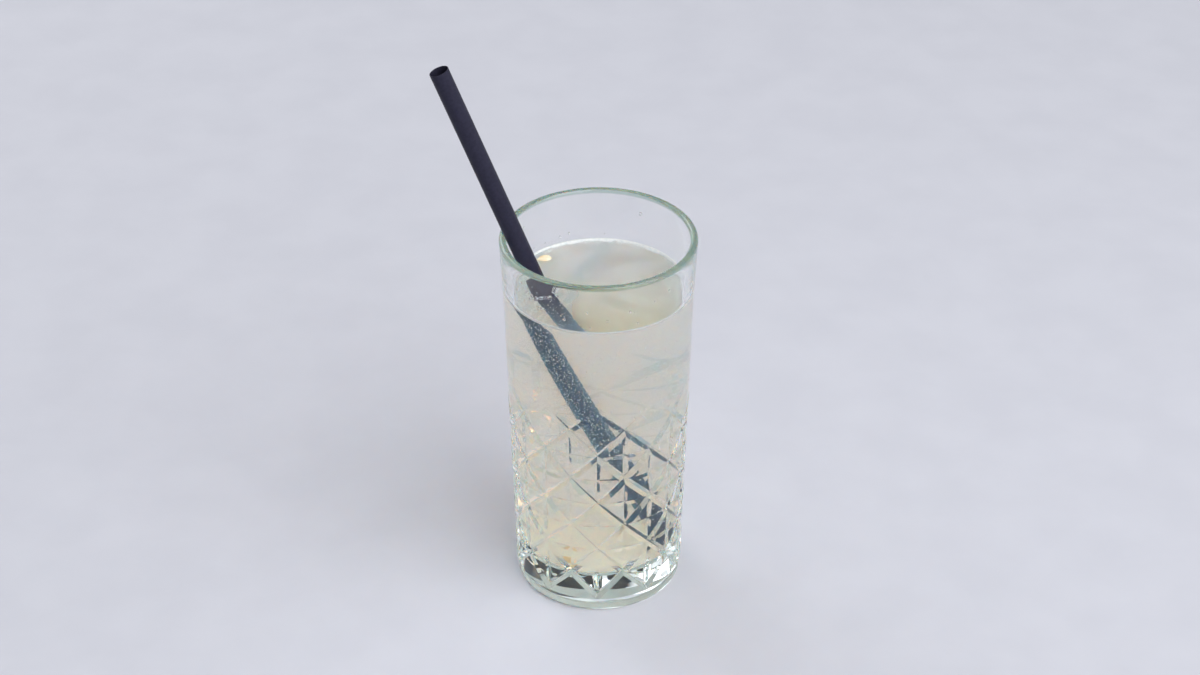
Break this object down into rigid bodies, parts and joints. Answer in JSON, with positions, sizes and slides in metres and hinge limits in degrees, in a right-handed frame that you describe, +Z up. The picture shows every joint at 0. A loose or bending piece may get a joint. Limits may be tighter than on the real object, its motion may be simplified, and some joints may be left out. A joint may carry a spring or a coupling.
{
  "type": "glass of lemonade",
  "caption": "Tall pressed glass with a diamond lattice cut, filled with cloudy lemonade, with a floating lemon pip and a black drinking straw leaning on the rim.",
  "frame": {"origin": "centre of the glass's flat underside", "axes": "+Z up along the axis of the glass; -Y is the front; the straw leans towards -X"},
  "size_m": [0.1006, 0.077, 0.2334],
  "materials": {
    "glass": "clear, polished, faintly green in the thick rim and foot",
    "lemonade": "cloudy pale cream liquid with a wet surface",
    "straw": "satin black"
  },
  "bodies": {
    "root": {"glass": "glass", "lemonade": "lemonade", "straw": "straw"}
  },
  "joints": []
}
